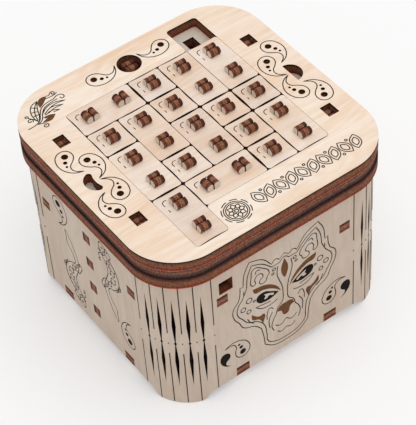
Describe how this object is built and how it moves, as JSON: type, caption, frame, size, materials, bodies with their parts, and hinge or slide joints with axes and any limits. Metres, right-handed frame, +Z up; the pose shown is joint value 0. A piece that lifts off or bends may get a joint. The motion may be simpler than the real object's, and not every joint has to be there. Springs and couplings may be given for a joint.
{
  "type": "wooden puzzle box",
  "caption": "Plywood puzzle box with bent rounded corners and a hinged lid that carries a tray of sliding tiles with clip knobs; a tongue under one tile meets a window in the front wall.",
  "frame": {"origin": "bottom centre of the whole box, hinge included, on the plane the feet stand on", "axes": "+Z up, -Y the front with the lock window, +X to the right seen from the front"},
  "size_m": [0.092, 0.1006, 0.0735],
  "materials": {
    "lid_face": "sanded birch plywood",
    "tile_face": "sanded birch plywood",
    "lid_ply": "laser-cut plywood edge",
    "wall_face": "sanded birch plywood",
    "inner_ply": "birch plywood",
    "burnt_edge": "laser-cut plywood edge",
    "dowel": "birch dowel"
  },
  "bodies": {
    "case": {"wall_wrap": "wall_face", "back_wall": "wall_face", "base_plate": "inner_ply", "divider": "inner_ply", "front_ledge": "inner_ply", "back_ledge": "inner_ply", "case_ear_left": "burnt_edge", "case_ear_right": "burnt_edge", "hinge_pin": "dowel"},
    "lid": {"top_plate": "lid_face", "tray_floor": "lid_ply", "lid_rim": "lid_ply", "lid_clips": "burnt_edge", "well_clip": "burnt_edge", "tile_clips": "burnt_edge", "tile_washers": "inner_ply", "lock_tongue": "burnt_edge", "lock_tile": "tile_face", "lid_ear_left": "burnt_edge", "lid_ear_right": "burnt_edge", "long_tile_column_1_row_1": "tile_face", "long_tile_column_1_row_3": "tile_face", "long_tile_column_2_row_2": "tile_face", "long_tile_column_2_row_5": "tile_face", "long_tile_column_3_row_3": "tile_face", "long_tile_column_4_row_1": "tile_face", "long_tile_column_5_row_4": "tile_face", "square_tile_column_1_row_2": "tile_face", "square_tile_column_2_row_4": "tile_face", "square_tile_column_3_row_1": "tile_face", "square_tile_column_3_row_2": "tile_face", "square_tile_column_4_row_3": "tile_face", "square_tile_column_4_row_4": "tile_face", "square_tile_column_4_row_5": "tile_face", "square_tile_column_5_row_3": "tile_face"},
    "first_tile": {"first_tile": "tile_face", "first_tile_clips": "burnt_edge", "first_tile_washers": "inner_ply"}
  },
  "joints": [
    {"name": "lid_hinge", "type": "hinge", "parent": "case", "child": "lid", "pos_m": [0, 0.04625, 0.059], "axis": [-1, 0, 0], "range_deg": [0, 100]},
    {"name": "first_tile_slide", "type": "slide", "parent": "lid", "child": "first_tile", "axis": [0, 1, 0], "range_m": [0, 0.012]}
  ]
}
